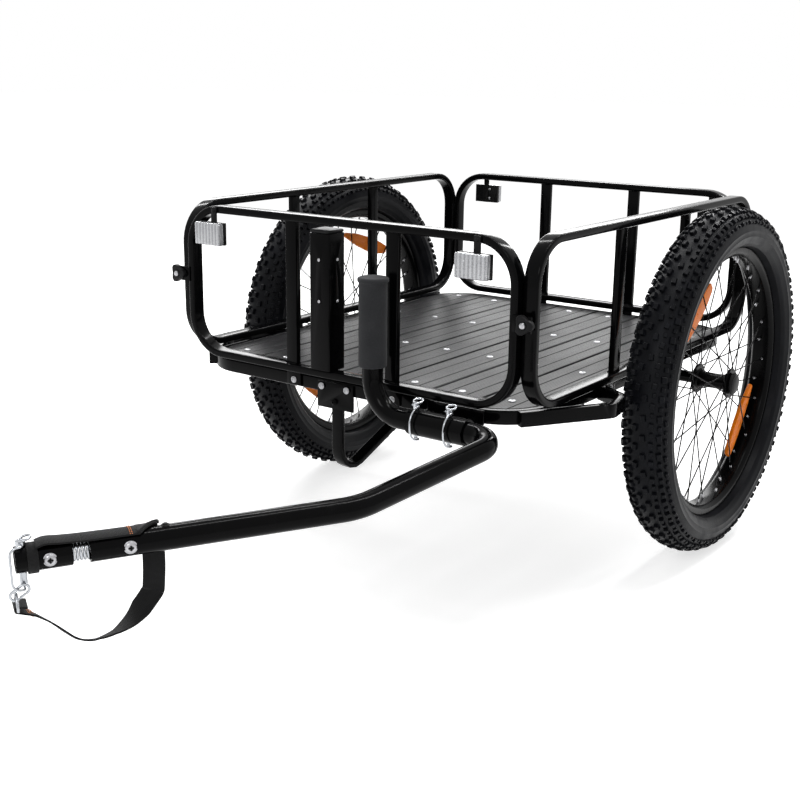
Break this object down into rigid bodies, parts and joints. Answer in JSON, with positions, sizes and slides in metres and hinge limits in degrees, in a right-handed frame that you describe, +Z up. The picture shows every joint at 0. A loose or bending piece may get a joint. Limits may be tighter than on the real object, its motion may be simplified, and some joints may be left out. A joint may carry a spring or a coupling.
{
  "type": "cargo bike trailer",
  "caption": "Flat-bed bicycle cargo trailer with slatted floor, four railing panels, knobby spoked wheels, front stand and a bent tow arm ending in a sprung hitch with a safety strap.",
  "frame": {"origin": "on the ground under the middle of the whole trailer and its tow arm, with the axle 410 mm behind it", "axes": "+Z up, -Y forwards along the way of travel, +X to the trailer's left along the axle"},
  "size_m": [0.8058, 1.375, 0.546],
  "materials": {
    "black_paint": "gloss black powder coat",
    "plank": "satin dark grey, ribbed",
    "black_plastic": "matt moulded",
    "tyre": "matt knobbed rubber",
    "chrome": "bright plated",
    "foam": "soft matt foam",
    "orange_lens": "moulded prismatic",
    "clear_lens": "clear ribbed over silver",
    "webbing": "woven nylon"
  },
  "bodies": {
    "frame": {"base_frame": "black_paint", "floor_plank_1": "plank", "floor_plank_2": "plank", "floor_plank_3": "plank", "floor_plank_4": "plank", "floor_plank_5": "plank", "floor_plank_6": "plank", "floor_plank_7": "plank", "front_panel": "black_paint", "rear_panel": "black_paint", "left_panel": "black_paint", "right_panel": "black_paint", "front_post": "black_paint", "post_cap": "black_plastic", "reflector_bracket_front_left": "black_plastic", "reflector_bracket_front_right": "black_plastic", "reflector_bracket_rear_left": "black_plastic", "reflector_bracket_rear_right": "black_plastic", "reflector_front_left": "clear_lens", "reflector_front_right": "clear_lens", "reflector_rear_left": "clear_lens", "reflector_rear_right": "clear_lens", "wheel_guard_left": "black_paint", "wheel_guard_right": "black_paint", "axle": "black_paint", "stand": "black_paint", "stand_bracket": "black_paint", "receiver_sleeve": "black_paint", "tow_arm": "black_paint", "hand_grip": "foam", "lock_pin_1": "chrome", "lock_pin_2": "chrome", "safety_strap": "webbing"},
    "wheel_left": {"tyre_left": "tyre", "rim_left": "black_paint", "hub_left": "black_paint", "hub_cap_left": "black_plastic", "spoke_reflector_left_1": "orange_lens", "spoke_reflector_left_2": "orange_lens"},
    "wheel_right": {"tyre_right": "tyre", "rim_right": "black_paint", "hub_right": "black_paint", "hub_cap_right": "black_plastic", "spoke_reflector_right_1": "orange_lens", "spoke_reflector_right_2": "orange_lens"},
    "knob_front_left": {"corner_knob_front_left": "black_plastic"},
    "knob_front_right": {"corner_knob_front_right": "black_plastic"},
    "knob_rear_left": {"corner_knob_rear_left": "black_plastic"},
    "knob_rear_right": {"corner_knob_rear_right": "black_plastic"},
    "lock_bail_a": {"lock_bail_1": "chrome"},
    "lock_bail_b": {"lock_bail_2": "chrome"},
    "spring": {"coil_spring": "chrome"},
    "hitch_head": {"hitch_tube": "black_paint", "hitch_pin": "chrome"},
    "pin_bail": {"hitch_bail": "chrome"},
    "hook": {"snap_hook": "chrome", "strap_ring": "chrome"},
    "gate": {"snap_gate": "chrome"}
  },
  "joints": [
    {"name": "wheel_left_spin", "type": "hinge", "parent": "frame", "child": "wheel_left", "pos_m": [0.366, 0.40969, 0.273], "axis": [1, 0, 0], "continuous": true},
    {"name": "wheel_right_spin", "type": "hinge", "parent": "frame", "child": "wheel_right", "pos_m": [-0.366, 0.40969, 0.273], "axis": [1, 0, 0], "continuous": true},
    {"name": "knob_front_left_turn", "type": "hinge", "parent": "frame", "child": "knob_front_left", "pos_m": [0.307, -0.08811, 0.435], "axis": [0, -1, 0], "continuous": true},
    {"name": "knob_front_right_turn", "type": "hinge", "parent": "frame", "child": "knob_front_right", "pos_m": [-0.307, -0.08811, 0.435], "axis": [0, -1, 0], "continuous": true},
    {"name": "knob_rear_left_turn", "type": "hinge", "parent": "frame", "child": "knob_rear_left", "pos_m": [0.307, 0.67499, 0.435], "axis": [0, 1, 0], "continuous": true},
    {"name": "knob_rear_right_turn", "type": "hinge", "parent": "frame", "child": "knob_rear_right", "pos_m": [-0.307, 0.67499, 0.435], "axis": [0, 1, 0], "continuous": true},
    {"name": "lock_bail_1_swing", "type": "hinge", "parent": "frame", "child": "lock_bail_a", "pos_m": [0.1575, -0.10831, 0.3093], "axis": [-1, 0, 0], "range_deg": [0, 70]},
    {"name": "lock_bail_2_swing", "type": "hinge", "parent": "frame", "child": "lock_bail_b", "pos_m": [0.211, -0.10831, 0.3093], "axis": [-1, 0, 0], "range_deg": [0, 70]},
    {"name": "hitch_yaw", "type": "hinge", "parent": "frame", "child": "spring", "pos_m": [0.08194, -0.61765, 0.24718], "axis": [0, 0, 1], "range_deg": [-25, 25], "stiffness_Nm_per_rad": 6, "deforming": ["coil_spring", "safety_strap"]},
    {"name": "hitch_pitch", "type": "hinge", "parent": "spring", "child": "hitch_head", "pos_m": [0.08194, -0.61765, 0.24718], "axis": [0.8489, -0.5285, 0], "range_deg": [-25, 25], "stiffness_Nm_per_rad": 8, "deforming": ["coil_spring", "safety_strap"]},
    {"name": "pin_bail_swing", "type": "hinge", "parent": "hitch_head", "child": "pin_bail", "pos_m": [0.04975, -0.66936, 0.26327], "axis": [-0.8489, 0.5285, 0], "range_deg": [0, 110], "deforming": ["safety_strap"]},
    {"name": "hook_swing", "type": "hinge", "parent": "pin_bail", "child": "hook", "pos_m": [0.05038, -0.66835, 0.21529], "axis": [0.8489, -0.5285, 0], "range_deg": [-15, 15], "deforming": ["safety_strap"]},
    {"name": "gate_swing", "type": "hinge", "parent": "hook", "child": "gate", "pos_m": [0.05354, -0.67671, 0.20549], "axis": [0.8489, -0.5285, 0], "range_deg": [0, 12], "stiffness_Nm_per_rad": 0.004, "springref_deg": -5.73}
  ]
}
